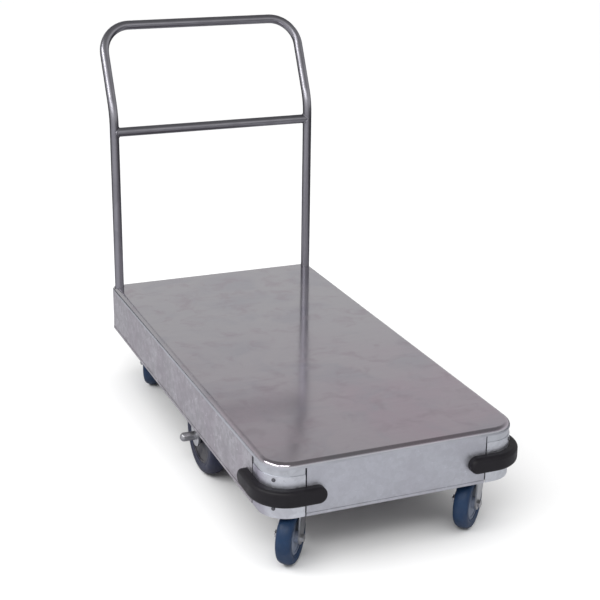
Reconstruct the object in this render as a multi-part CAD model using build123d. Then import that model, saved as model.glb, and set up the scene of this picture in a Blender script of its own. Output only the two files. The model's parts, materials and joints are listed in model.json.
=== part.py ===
"""Six-wheel platform cart.

A box of sheet steel with a smooth deck, two rubber corner bumpers, a plug-in tube
handle, four swivel casters and two larger fixed wheels under the middle.

Frame: +Z up with the floor at z = 0, +X to the right, the bumper end at -Y and the
handle end at +Y. The origin is the middle of the whole cart's box, on the floor.
Every size is in millimetres, and every angle is in degrees.
"""
from build123d import *
from math import cos, radians, sin
import os

# ---------------------------------------------------------------- driving sizes
# Deck box
deck_length = 1250.0
deck_width = 610.0
deck_sheet = 2.0
edge_roll = 12.0              # outer radius of the rolled edge at the front and sides
rim_depth = 14.0              # height of the deck's rim, roll included
corner_radius = 65.0          # front corners, in plan
skirt_sheet = 1.5
skirt_depth = 129.0           # from the deck's top to the skirt's lower edge
skirt_gap = 1.0               # skirt's lower edge above the top of the swivel wheels
hem_height = 7.0
hem_proud = 1.2

# Front corners
cover_drop = 30.0             # cover's upper edge below the deck
cover_side_tab = 28.0         # flat part of the cover beyond the round corner
cover_front_tab = 20.0
side_seam = 5.0               # open seam between a cover and a side skirt
front_seam = 3.0              # open seam between a cover and the front skirt
post_sheet = 2.0
post_lap = 15.0               # how far the post runs on behind a skirt
screw_inset_top = 9.0
screw_inset_bottom = 22.0

# Bumpers
bumper_height = 39.0
bumper_depth = 21.0
bumper_drop = 77.0            # bumper's middle below the deck
bumper_edge = 9.5             # outer edges' radius
bumper_side_arm = 80.0        # from the end of the round corner to the bumper's tip
bumper_front_arm = 66.0
bumper_bolt_bite = 11.0       # bolt's length inside the rubber
bolt_head_room = 1.5          # between a bumper bolt's head and the post
bumper_head_room = 8.0        # depth kept free for a bumper bolt's head, inside the panels

# Handle
tube_diameter = 25.0
tube_wall = 2.0
socket_wall = 1.5
socket_clearance = 0.3        # radial, tube in its socket
socket_floor = 3.0
socket_rise = 10.0            # socket's underside above the skirt's lower edge
deck_hole_clearance = 1.0     # radial, tube in the deck's hole
crossbar_rise = 452.0         # crossbar's centre line above the deck
bend_rise = 50.0              # lean's bend point above the crossbar
top_rise = 728.0              # top bar's centre line above the deck
handle_lean = 113.0           # top bar's distance behind the legs
lean_bend_radius = 155.0
top_corner_radius = 80.0

# Beams and stringers under the deck
beam_sheet = 3.0
beam_width = 110.0
centre_beam_width = 160.0
centre_beam_depth = 13.0
stringer_width = 40.0
stringer_sheet = 2.0
stringer_offset = 130.0       # from the cart's middle plane
notch_clearance = 0.5

# Swivel casters
caster_wheel_diameter = 125.0
caster_wheel_width = 36.0
caster_tyre_depth = 22.5      # from tread to bore
caster_trail = 26.0
caster_side_inset = 84.0      # swivel axis from the deck's side
caster_front_inset = 58.5     # swivel axis from the deck's front
caster_rear_inset = 124.0     # swivel axis from the deck's rear
caster_plate_size = (100.0, 85.0)
caster_plate_sheet = 4.0
caster_plate_corner = 8.0
caster_bolt_pitch = (78.0, 60.0)
caster_axle_diameter = 10.0
caster_hub_core = 27.0
fork_sheet = 3.5
fork_gap = 3.5                # between a wheel's side and its fork
fork_half_length = 30.0       # crown, each way from the swivel axis
fork_eye_radius = 15.0
fork_bend = 8.0               # outer radius of the fork's shoulders
crown_gap = 8.0               # between a wheel's top and the crown
ball_diameter = 8.0
ball_play = 0.3
balls_per_race = 14
race_radius = 23.0
race_width = 12.0
race_rise = 3.0
shield_sheet = 2.0
kingpin_diameter = 12.0
kingpin_head_room = 3.0       # round the kingpin's head, in the beam

# Directions in which the casters trail at rest, measured from +X
trail_directions = {
    "front_left": -130.0,
    "front_right": -137.0,
    "rear_left": -118.0,
    "rear_right": -120.0,
}

# Fixed centre wheels
centre_wheel_diameter = 200.0
centre_wheel_width = 46.0
centre_tyre_depth = 29.0      # from tread to bore
centre_wheel_inset = 40.0     # wheel's middle plane from the deck's side
centre_wheel_forward = 103.0  # axle in front of the deck's middle
centre_fork_sheet = 5.0
centre_fork_gap = 4.0
centre_fork_bend = 9.0
centre_fork_plate = 130.0     # length of the fork's top plate
centre_leg_top = 100.0        # leg's width under the plate
centre_leg_eye = 27.0         # radius of the leg's lower end
centre_bolt_pitch = (32.0, 106.0)
centre_axle_diameter = 16.0
centre_axle_bite = 28.0       # axle's length inside its cap
centre_cap_diameter = 22.0
centre_cap_length = 38.0
centre_hub_core = 44.0
cap_room = 4.0                # round the axle cap, where it passes a skirt

# Wheels
hub_lip = 2.0                 # hub's rim inside each face of the tyre
hub_rim = 5.0
hub_recess = 2.0              # web's face behind the rim's
tyre_foot = 2.0               # tyre's side is this much narrower at its bore
tread_rounding = 0.31         # tread corner's radius as a share of the wheel's width

# Fits and fasteners
running_fit = 0.08            # radial, a pin or axle in the piece that turns on it
side_play = 0.5               # end play of a hub or a fork
bolt_play = 0.25              # radial, a bolt in its hole
m5_screw = dict(shank=5.0, across=9.0, head=2.6)
m8_bolt = dict(shank=8.0, across=13.0, head=5.3, nut=6.5)
caster_axle_bolt = dict(shank=caster_axle_diameter, across=17.0, head=6.4, nut=9.0)
kingpin_bolt = dict(shank=kingpin_diameter, across=18.0, head=7.5, nut=6.5)
centre_axle_bolt = dict(shank=centre_axle_diameter, across=24.0, head=10.0)
screw_length = 10.0
screw_room = 1.0              # round a cover screw's tip, in the beam behind it
thread_proud = 2.0            # how far a bolt shows beyond its nut

# ---------------------------------------------------------------- worked-out places
# Heights
skirt_bottom = caster_wheel_diameter + skirt_gap
deck_top = skirt_bottom + skirt_depth
deck_under = deck_top - deck_sheet
rim_bottom = deck_top - rim_depth
centre_fork_top = deck_under - centre_beam_depth
cover_top = deck_top - cover_drop
bumper_z = deck_top - bumper_drop
centre_z = centre_wheel_diameter / 2

crown_under = caster_wheel_diameter + crown_gap
crown_top = crown_under + fork_sheet
upper_race = crown_top + race_rise + ball_diameter
plate_under = upper_race + race_rise
caster_mount = plate_under + caster_plate_sheet

# Handle sockets, in the rear corners
socket_width = tube_diameter + 2 * (socket_clearance + socket_wall)
socket_inset = skirt_sheet + socket_width / 2
socket_bottom = skirt_bottom + socket_rise
leg_bottom = socket_bottom + socket_floor


def forward_reach(direction):
    """How far a swivel wheel reaches ahead of its swivel axis when it trails in a direction."""
    tread = caster_wheel_width * tread_rounding
    along = caster_trail + caster_wheel_diameter / 2 - tread
    across = caster_wheel_width / 2 - tread
    return tread - along * sin(radians(direction)) + across * abs(cos(radians(direction)))


# The cart's box in Y runs from the bumpers or front wheels to the back of the leaning top bar
front_wheel_reach = max(forward_reach(trail_directions[name]) for name in ("front_left", "front_right"))
reach_front = deck_length / 2 + max(bumper_depth, front_wheel_reach - caster_front_inset)
reach_rear = deck_length / 2 - socket_inset + handle_lean + tube_diameter / 2
deck_y = (reach_front - reach_rear) / 2
front_y = deck_y - deck_length / 2
rear_y = deck_y + deck_length / 2
side_x = deck_width / 2

leg_x = side_x - socket_inset
leg_y = rear_y - socket_inset
crossbar_z = deck_top + crossbar_rise
bend_z = crossbar_z + bend_rise
top_y = leg_y + handle_lean
top_z = deck_top + top_rise

# Reaches round a front corner, from the corner's two outer faces
cover_side_reach = corner_radius + cover_side_tab
cover_front_reach = corner_radius + cover_front_tab
post_side_reach = cover_side_reach + side_seam + post_lap
post_front_reach = cover_front_reach + front_seam + post_lap
bumper_side_reach = corner_radius + bumper_side_arm
bumper_front_reach = corner_radius + bumper_front_arm
corner_x = side_x - corner_radius
corner_y = front_y + corner_radius

# Bumper bolts stand just clear of the post behind the skirts
bolt_head_reach = m8_bolt["across"] / 2 / cos(radians(30)) + bolt_head_room
side_bolt_reach = post_side_reach + bolt_head_reach
front_bolt_reach = post_front_reach + bolt_head_reach
bumper_bolt_places = (
    (Vector(side_x - skirt_sheet, front_y + side_bolt_reach, bumper_z), Vector(1, 0, 0)),
    (Vector(side_x - front_bolt_reach, front_y + skirt_sheet, bumper_z), Vector(0, -1, 0)),
)

# Cover screws point inward from the middle of the round corner
corner_out = Vector(cos(radians(-45)), sin(radians(-45)), 0)
screw_heights = (cover_top - screw_inset_top, skirt_bottom + screw_inset_bottom)
screw_seats = [Vector(corner_x, corner_y, z) + corner_out * corner_radius for z in screw_heights]

# Wheels
caster_tyre_bore = caster_wheel_diameter - 2 * caster_tyre_depth
centre_tyre_bore = centre_wheel_diameter - 2 * centre_tyre_depth
caster_x = side_x - caster_side_inset
caster_front_y = front_y + caster_front_inset
caster_rear_y = rear_y - caster_rear_inset
caster_places = {
    "front_left": (-caster_x, caster_front_y),
    "front_right": (caster_x, caster_front_y),
    "rear_left": (-caster_x, caster_rear_y),
    "rear_right": (caster_x, caster_rear_y),
}
fork_inner = caster_wheel_width / 2 + fork_gap
fork_outer = fork_inner + fork_sheet
centre_x = side_x - centre_wheel_inset
centre_y = deck_y - centre_wheel_forward
centre_fork_inner = centre_wheel_width / 2 + centre_fork_gap
centre_fork_outer = centre_fork_inner + centre_fork_sheet
stringer_depth = centre_beam_depth - beam_sheet - notch_clearance

UP = Vector(0, 0, 1)
DOWN = Vector(0, 0, -1)

# Every node and its shape, and the fasteners and balls that share a node with their like
parts = {}
shared = {name: [] for name in (
    "corner_cover_screws", "bumper_bolts", "caster_mount_bolts", "caster_mount_nuts",
    "caster_kingpins", "caster_kingpin_nuts", "caster_balls", "centre_fork_bolts", "centre_fork_nuts")}


# ---------------------------------------------------------------- small helpers
def block(x0, x1, y0, y1, z0, z1):
    """A box given by its lowest and highest corners."""
    return Pos((x0 + x1) / 2, (y0 + y1) / 2, (z0 + z1) / 2) * Box(x1 - x0, y1 - y0, z1 - z0)


def rod(start, direction, radius, length):
    """A round bar that runs from a point along a direction."""
    return extrude(Plane(origin=start, z_dir=direction) * Circle(radius), length)


def hexagon(start, direction, across, length):
    """A hexagonal bar, sized across its flats, that runs from a point along a direction."""
    flats = RegularPolygon(across / 2, 6, major_radius=False)
    return extrude(Plane(origin=start, z_dir=direction) * flats, length)


def bolt(seat, direction, size, length):
    """A hexagon bolt: the head lies behind its seat point and the shank runs ahead of it."""
    head_start = seat - direction * size["head"]
    head = hexagon(head_start, direction, size["across"], size["head"])
    return head + rod(seat, direction, size["shank"] / 2, length)


def nut(seat, direction, size):
    """A hexagon nut that starts at its seat point, with its thread left as a plain bore."""
    ring = hexagon(seat, direction, size["across"], size["nut"])
    return ring - rod(seat, direction, size["shank"] / 2, size["nut"])


def mirrored(shape):
    """The same shape on the other side of the cart."""
    return mirror(shape, about=Plane.YZ)


def group(solids):
    """Separate solids kept together in one node."""
    return Compound(children=[solid for shape in solids for solid in shape.solids()])


def deck_outline(inset):
    """The deck's plan moved in from its edges: round front corners, square rear corners."""
    x = side_x - inset
    y0 = front_y + inset
    y1 = rear_y - inset
    plan = Pos(0, (y0 + y1) / 2) * Rectangle(2 * x, y1 - y0)
    return fillet(plan.vertices().group_by(Axis.Y)[0], corner_radius - inset)


def outline_prism(inset, z0, z1):
    """The deck's plan as a solid between two heights."""
    return extrude(Pos(0, 0, z0) * deck_outline(inset), z1 - z0)


def rolled_blank(inset, top, roll):
    """A solid block in the deck's plan, with its front and side edges rolled over."""
    blank = outline_prism(inset, rim_bottom, top)
    upper = blank.edges().group_by(Axis.Z)[-1]
    rear = rear_y - inset
    rolled = [edge for edge in upper if edge.center().Y < rear - 1.0]
    return fillet(rolled, roll)


def shell_band(z0, z1, outer_inset, sheet, side_reach, front_reach):
    """A sheet bent round the right front corner, with a flat tab on either side."""
    outer = outline_prism(outer_inset, z0, z1)
    inner = outline_prism(outer_inset + sheet, z0 - 1, z1 + 1)
    corner = block(side_x - front_reach, side_x + 1, front_y - 1, front_y + side_reach, z0, z1)
    return (outer - inner) & corner


# ---------------------------------------------------------------- deck and skirts
def make_deck():
    """The deck: one sheet with its edges rolled down into a rim, and two holes for the handle."""
    tray = rolled_blank(0, deck_top, edge_roll)
    tray -= rolled_blank(deck_sheet, deck_under, edge_roll - deck_sheet)
    hole = tube_diameter / 2 + deck_hole_clearance
    for x in (-leg_x, leg_x):
        tray -= rod((x, leg_y, rim_bottom - 1), UP, hole, rim_depth + 2)
    parts["deck_sheet"] = tray


def hem(x0, x1, y0, y1):
    """A flattened hem along a skirt's lower edge, with its outer corners eased."""
    strip = block(x0, x1, y0, y1, skirt_bottom, skirt_bottom + hem_height)
    along = Axis.X if x1 - x0 > y1 - y0 else Axis.Y
    return fillet(strip.edges().filter_by(along), hem_proud * 0.45)


def make_side_skirts():
    """The long side panels, each with a hem and room for the axle cap that passes under it."""
    y0 = front_y + cover_side_reach + side_seam
    panel = block(side_x - skirt_sheet, side_x, y0, rear_y, skirt_bottom, rim_bottom)
    panel += hem(side_x, side_x + hem_proud, y0, rear_y)
    room = centre_cap_diameter / 2 + cap_room
    inside = (side_x - skirt_sheet - 1, centre_y, centre_z)
    depth = skirt_sheet + hem_proud + 2
    panel -= rod(inside, (1, 0, 0), room, depth)
    panel -= block(inside[0], inside[0] + depth, centre_y - room, centre_y + room, 0, centre_z)
    bolt_y = front_y + side_bolt_reach
    panel -= rod((inside[0], bolt_y, bumper_z), (1, 0, 0), m8_bolt["shank"] / 2 + bolt_play, depth)
    parts["side_skirt_right"] = panel
    parts["side_skirt_left"] = mirrored(panel)


def make_front_skirt():
    """The front panel between the two corner covers."""
    x = side_x - cover_front_reach - front_seam
    panel = block(-x, x, front_y, front_y + skirt_sheet, skirt_bottom, rim_bottom)
    panel += hem(-x, x, front_y - hem_proud, front_y)
    for bolt_x in (front_bolt_reach - side_x, side_x - front_bolt_reach):
        hole = m8_bolt["shank"] / 2 + bolt_play
        panel -= rod((bolt_x, front_y - 1, bumper_z), (0, 1, 0), hole, skirt_sheet + 2)
    parts["front_skirt"] = panel


def make_rear_skirt():
    """The rear panel between the two side skirts."""
    x = side_x - skirt_sheet
    panel = block(-x, x, rear_y - skirt_sheet, rear_y, skirt_bottom, rim_bottom)
    parts["rear_skirt"] = panel + hem(-x, x, rear_y, rear_y + hem_proud)


# ---------------------------------------------------------------- front corners
def screw_bore(seat, radius):
    """A round bar along a cover screw, as long as its shank and a little over."""
    return rod(seat - corner_out * (screw_length + 1), corner_out, radius, screw_length + 2)


def make_corner():
    """The inner post, the outer cover and the cover's screws at each front corner."""
    post = shell_band(skirt_bottom + hem_height, rim_bottom, skirt_sheet, post_sheet,
                      post_side_reach, post_front_reach)
    cover = shell_band(skirt_bottom, cover_top, 0, skirt_sheet, cover_side_reach, cover_front_reach)
    right_screws = []
    for seat in screw_seats:
        shank = rod(seat - corner_out * screw_length, corner_out, m5_screw["shank"] / 2, screw_length)
        head = rod(seat, corner_out, m5_screw["across"] / 2, m5_screw["head"])
        rims = head.edges().filter_by(GeomType.CIRCLE)
        rim = rims.sort_by(lambda edge: (edge.arc_center - seat).length)[-1:]
        head = fillet(rim, m5_screw["head"] * 0.7)
        right_screws.append(head + shank)
        post -= screw_bore(seat, m5_screw["shank"] / 2)
        cover -= screw_bore(seat, m5_screw["shank"] / 2 + bolt_play)
    parts["corner_post_right"] = post
    parts["corner_post_left"] = mirrored(post)
    parts["corner_cover_right"] = cover
    parts["corner_cover_left"] = mirrored(cover)
    shared["corner_cover_screws"] += right_screws + [mirrored(screw) for screw in right_screws]


def bumper_section():
    """A rectangle with round outer corners, whose flat side lies against the panel."""
    bar = Pos(bumper_depth / 2, 0) * Rectangle(bumper_depth, bumper_height)
    return fillet(bar.vertices().group_by(Axis.X)[-1], bumper_edge)


def dome(place, outward):
    """The bumper's end, round in the panel's plane."""
    b = bumper_height / 2
    face = Plane(origin=place, x_dir=outward, z_dir=UP.cross(Vector(*outward)))
    quarter = bumper_section() & (Pos(bumper_depth / 2, b / 2) * Rectangle(bumper_depth, b))
    return revolve(face * quarter, Axis(place, outward), 360)


def make_bumpers():
    """D-section rubber bumpers wrapped round the front corners, each held by two bolts."""
    side_end = Vector(side_x, front_y + bumper_side_reach - bumper_height / 2, bumper_z)
    front_end = Vector(side_x - bumper_front_reach + bumper_height / 2, front_y, bumper_z)
    bend_start = Vector(side_x, corner_y, bumper_z)
    side_plane = Plane(origin=bend_start, x_dir=(1, 0, 0), z_dir=(0, -1, 0))
    front_plane = Plane(origin=(corner_x, front_y, bumper_z), x_dir=(0, -1, 0), z_dir=(-1, 0, 0))
    bend_axis = Axis((corner_x, corner_y, 0), (0, 0, -1))
    rubber = extrude(side_plane * bumper_section(), -(side_end.Y - corner_y))
    rubber += revolve(side_plane * bumper_section(), bend_axis, 90)
    rubber += extrude(front_plane * bumper_section(), corner_x - front_end.X)
    rubber += dome(side_end, (1, 0, 0))
    rubber += dome(front_end, (0, -1, 0))
    length = skirt_sheet + bumper_bolt_bite
    bolts = []
    for seat, out in bumper_bolt_places:
        bolts.append(bolt(seat, out, m8_bolt, length))
        rubber -= rod(seat, out, m8_bolt["shank"] / 2, length)
    parts["bumper_right"] = rubber
    parts["bumper_left"] = mirrored(rubber)
    shared["bumper_bolts"] += bolts + [mirrored(one) for one in bolts]


# ---------------------------------------------------------------- beams under the deck
def interior(inset):
    """The room inside the deck box, down to the floor."""
    upper = rolled_blank(deck_sheet, deck_under, edge_roll - deck_sheet)
    return outline_prism(inset, 0, rim_bottom) + upper


def channel(y, width, z0):
    """A channel across the cart, open upward, whose flanges carry the deck."""
    beam = block(-side_x, side_x, y - width / 2, y + width / 2, z0, deck_under)
    half = width / 2 - beam_sheet
    beam -= block(-side_x - 1, side_x + 1, y - half, y + half, z0 + beam_sheet, deck_under + 1)
    for x in (-stringer_offset, stringer_offset):
        half_notch = stringer_width / 2 + notch_clearance
        notch_z = deck_under - stringer_depth - notch_clearance
        beam -= block(x - half_notch, x + half_notch, y - width, y + width, notch_z, deck_under + 1)
    return beam


def four_places(x, y, pitch):
    """The corners of a bolt pattern."""
    return [(x + sx * pitch[0] / 2, y + sy * pitch[1] / 2) for sx in (-1, 1) for sy in (-1, 1)]


def make_beams():
    """Deep beams over the casters, a shallow one over the centre wheels, and two stringers."""
    hole = m8_bolt["shank"] / 2 + bolt_play
    head_hole = kingpin_bolt["across"] / 2 / cos(radians(30)) + kingpin_head_room
    for name, y, inset in (("front", caster_front_y, skirt_sheet + post_sheet),
                           ("rear", caster_rear_y, skirt_sheet)):
        beam = channel(y, beam_width, caster_mount) & interior(inset)
        for x in (-caster_x, caster_x):
            beam -= rod((x, y, caster_mount - 1), UP, head_hole, beam_sheet + 2)
            for place in four_places(x, y, caster_bolt_pitch):
                beam -= rod((*place, caster_mount - 1), UP, hole, beam_sheet + 2)
        rooms = [screw_bore(seat, m5_screw["shank"] / 2 + screw_room) for seat in screw_seats]
        rooms += [rod(seat, -out, bolt_head_reach, bumper_head_room) for seat, out in bumper_bolt_places]
        for room in rooms:
            beam -= room + mirrored(room)
        parts["cross_beam_" + name] = beam
    centre = channel(centre_y, centre_beam_width, centre_fork_top) & interior(skirt_sheet)
    for x in (-centre_x, centre_x):
        for place in four_places(x, centre_y, centre_bolt_pitch):
            centre -= rod((*place, centre_fork_top - 1), UP, hole, beam_sheet + 2)
    parts["cross_beam_centre"] = centre

    z0 = deck_under - stringer_depth
    y0 = front_y + skirt_sheet
    y1 = rear_y - skirt_sheet
    x0 = stringer_offset - stringer_width / 2
    x1 = stringer_offset + stringer_width / 2
    stringer = block(x0, x1, y0, y1, z0, deck_under)
    stringer -= block(x0 + stringer_sheet, x1 - stringer_sheet, y0 - 1, y1 + 1,
                      z0 - 1, deck_under - stringer_sheet)
    stringer &= interior(skirt_sheet)
    parts["stringer_right"] = stringer
    parts["stringer_left"] = mirrored(stringer)


# ---------------------------------------------------------------- handle
def make_handle():
    """A tube bent into a hoop, the crossbar between its legs, and the two sockets."""
    foot = Vector(-leg_x, leg_y, leg_bottom)
    route = [
        foot,
        Vector(-leg_x, leg_y, bend_z),
        Vector(-leg_x, top_y, top_z),
        Vector(leg_x, top_y, top_z),
        Vector(leg_x, leg_y, bend_z),
        Vector(leg_x, leg_y, leg_bottom),
    ]
    radii = [lean_bend_radius, top_corner_radius, top_corner_radius, lean_bend_radius]
    line = FilletPolyline(*route, radius=radii)
    start = Plane(origin=foot, z_dir=UP)
    outer = sweep(start * Circle(tube_diameter / 2), path=line)
    inner = sweep(start * Circle(tube_diameter / 2 - tube_wall), path=line)
    parts["handle_hoop"] = outer - inner

    bar_start = (-leg_x, leg_y, crossbar_z)
    bar = rod(bar_start, (1, 0, 0), tube_diameter / 2, 2 * leg_x)
    bar -= rod(bar_start, (1, 0, 0), tube_diameter / 2 - tube_wall, 2 * leg_x)
    bar -= outer
    parts["handle_crossbar"] = bar.solids().sort_by(SortBy.VOLUME)[-1]

    half = socket_width / 2
    socket = block(leg_x - half, leg_x + half, leg_y - half, leg_y + half, socket_bottom, rim_bottom)
    bore = tube_diameter / 2 + socket_clearance
    socket -= rod((leg_x, leg_y, leg_bottom), UP, bore, rim_bottom - leg_bottom + 1)
    parts["handle_socket_right"] = socket
    parts["handle_socket_left"] = mirrored(socket)


# ---------------------------------------------------------------- wheels
def tyre(diameter, width, bore):
    """A solid rubber tyre along the Y axis, round at its tread and narrower at its bore."""
    half = width / 2
    foot = half - tyre_foot
    shoulder = (bore + diameter) / 4
    points = [(foot, bore / 2), (half, shoulder), (half, diameter / 2),
              (-half, diameter / 2), (-half, shoulder), (-foot, bore / 2)]
    outline = make_face(Polyline(*points, close=True))
    tread = [v for v in outline.vertices() if v.Y > diameter / 2 - 0.01]
    outline = fillet(tread, width * tread_rounding)
    return revolve(Plane.YZ * outline, Axis.Y, 360)


def hub(bore_diameter, core_diameter, core_half, rim_diameter, wheel_width):
    """A hub along the Y axis: a bored core, a broad web and the rim that carries the tyre."""
    rim_half = wheel_width / 2 - tyre_foot - hub_lip
    core = Cylinder(core_diameter / 2, 2 * core_half)
    web = Cylinder(rim_diameter / 2 - 1, 2 * (rim_half - hub_recess))
    rim = Cylinder(rim_diameter / 2, 2 * rim_half) - Cylinder(rim_diameter / 2 - hub_rim, 2 * rim_half)
    shape = core + web + rim
    shape -= Cylinder(bore_diameter / 2 + running_fit, 2 * core_half + 2)
    return Rot(90, 0, 0) * shape


def u_bracket(inner, outer, length_start, length_end, z0, under, top, bend):
    """A folded strip of sheet: two legs along Z and a crown, open downward, running along X."""
    section = Pos(0, (z0 + top) / 2) * Rectangle(2 * outer, top - z0)
    section = fillet(section.vertices().group_by(Axis.Y)[-1], bend)
    room = Pos(0, (z0 + under) / 2) * Rectangle(2 * inner, under - z0)
    room = fillet(room.vertices().group_by(Axis.Y)[-1], bend - (outer - inner))
    start = Plane(origin=(length_start, 0, 0), x_dir=(0, 1, 0), z_dir=(1, 0, 0))
    return extrude(start * (section - room), length_end - length_start)


def leg_outline(top_start, top_end, top, eye_x, eye_z, eye_radius):
    """A leg seen from the side: straight from its wide top down to a round eye."""
    crown = Line((top_start, top), (top_end, top))
    eye = CenterArc((eye_x, eye_z), eye_radius, 0, 360)
    return make_hull(crown.edges() + eye.edges())


def make_caster(corner):
    """One swivel caster: plate, fork, axle bolt, hub and tyre, trailing in its own direction."""
    x, y = caster_places[corner]
    straight = Pos(x, y, 0)
    trailing = Pos(x, y, 0) * Rot(0, 0, trail_directions[corner])
    axle_z = caster_wheel_diameter / 2
    wheel_place = trailing * Pos(caster_trail, 0, axle_z)

    # Top plate with its upper race and the shield round the balls
    plate = extrude(Pos(0, 0, plate_under) * RectangleRounded(*caster_plate_size, caster_plate_corner),
                    caster_plate_sheet)
    race_outer = race_radius + race_width / 2
    race_inner = race_radius - race_width / 2
    plate += rod((0, 0, upper_race), UP, race_outer + shield_sheet, race_rise)
    shield_bottom = crown_top + race_rise / 2
    shield = rod((0, 0, shield_bottom), UP, race_outer + shield_sheet, upper_race - shield_bottom)
    plate += shield - rod((0, 0, shield_bottom), UP, race_outer + 0.5, upper_race - shield_bottom)
    plate -= rod((0, 0, upper_race), UP, race_inner, race_rise)
    plate -= rod((0, 0, plate_under - 1), UP, kingpin_diameter / 2, caster_plate_sheet + 2)
    bolt_hole = m8_bolt["shank"] / 2 + bolt_play
    for place in four_places(0, 0, caster_bolt_pitch):
        plate -= rod((*place, plate_under - 1), UP, bolt_hole, caster_plate_sheet + 2)
        bolt_seat = Vector(x + place[0], y + place[1], plate_under)
        length = caster_plate_sheet + beam_sheet + m8_bolt["nut"] + thread_proud
        shared["caster_mount_bolts"].append(bolt(bolt_seat, UP, m8_bolt, length))
        nut_seat = bolt_seat + UP * (caster_plate_sheet + beam_sheet)
        shared["caster_mount_nuts"].append(nut(nut_seat, UP, m8_bolt))
    parts[corner + "_caster_plate"] = straight * plate

    # Kingpin, its nut under the crown, and the balls
    pin_length = caster_mount - crown_under + side_play + kingpin_bolt["nut"]
    pin_seat = Vector(x, y, caster_mount)
    shared["caster_kingpins"].append(bolt(pin_seat, DOWN, kingpin_bolt, pin_length))
    pin_nut_seat = Vector(x, y, crown_under - side_play)
    shared["caster_kingpin_nuts"].append(nut(pin_nut_seat, DOWN, kingpin_bolt))
    ball_radius = (ball_diameter - ball_play) / 2
    for number in range(balls_per_race):
        angle = 360 * number / balls_per_race
        spot = Pos(x, y, upper_race - ball_radius) * Rot(0, 0, angle) * Pos(race_radius, 0, 0)
        shared["caster_balls"].append(spot * Sphere(ball_radius))

    # Fork
    fork = u_bracket(fork_inner, fork_outer, -fork_half_length, caster_trail + fork_eye_radius,
                     axle_z - fork_eye_radius, crown_under, crown_top, fork_bend)
    side = leg_outline(-fork_half_length, fork_half_length, crown_top,
                       caster_trail, axle_z, fork_eye_radius)
    fork &= extrude(Plane.XZ * side, fork_outer, both=True)
    lower_race = rod((0, 0, crown_top), UP, race_outer, race_rise)
    fork += lower_race - rod((0, 0, crown_top), UP, race_inner, race_rise)
    fork -= rod((0, 0, crown_under - 1), UP, kingpin_diameter / 2 + running_fit, fork_sheet + 2)
    axle_hole = caster_axle_diameter / 2 + bolt_play
    fork -= rod((caster_trail, -fork_outer - 1, axle_z), (0, 1, 0), axle_hole, 2 * fork_outer + 2)
    parts[corner + "_caster_fork"] = trailing * fork

    # Axle bolt and nut, hub and tyre
    out = Vector(0, -1, 0)
    axle_length = 2 * fork_outer + caster_axle_bolt["nut"] + thread_proud
    axle = [
        bolt(Vector(0, fork_outer, 0), out, caster_axle_bolt, axle_length),
        nut(Vector(0, -fork_outer, 0), out, caster_axle_bolt),
    ]
    parts[corner + "_caster_axle"] = wheel_place * group(axle)
    core_half = fork_inner - side_play
    wheel_hub = hub(caster_axle_diameter, caster_hub_core, core_half,
                    caster_tyre_bore, caster_wheel_width)
    parts[corner + "_caster_hub"] = wheel_place * wheel_hub
    wheel_tyre = tyre(caster_wheel_diameter, caster_wheel_width, caster_tyre_bore)
    parts[corner + "_caster_tyre"] = wheel_place * wheel_tyre


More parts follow.
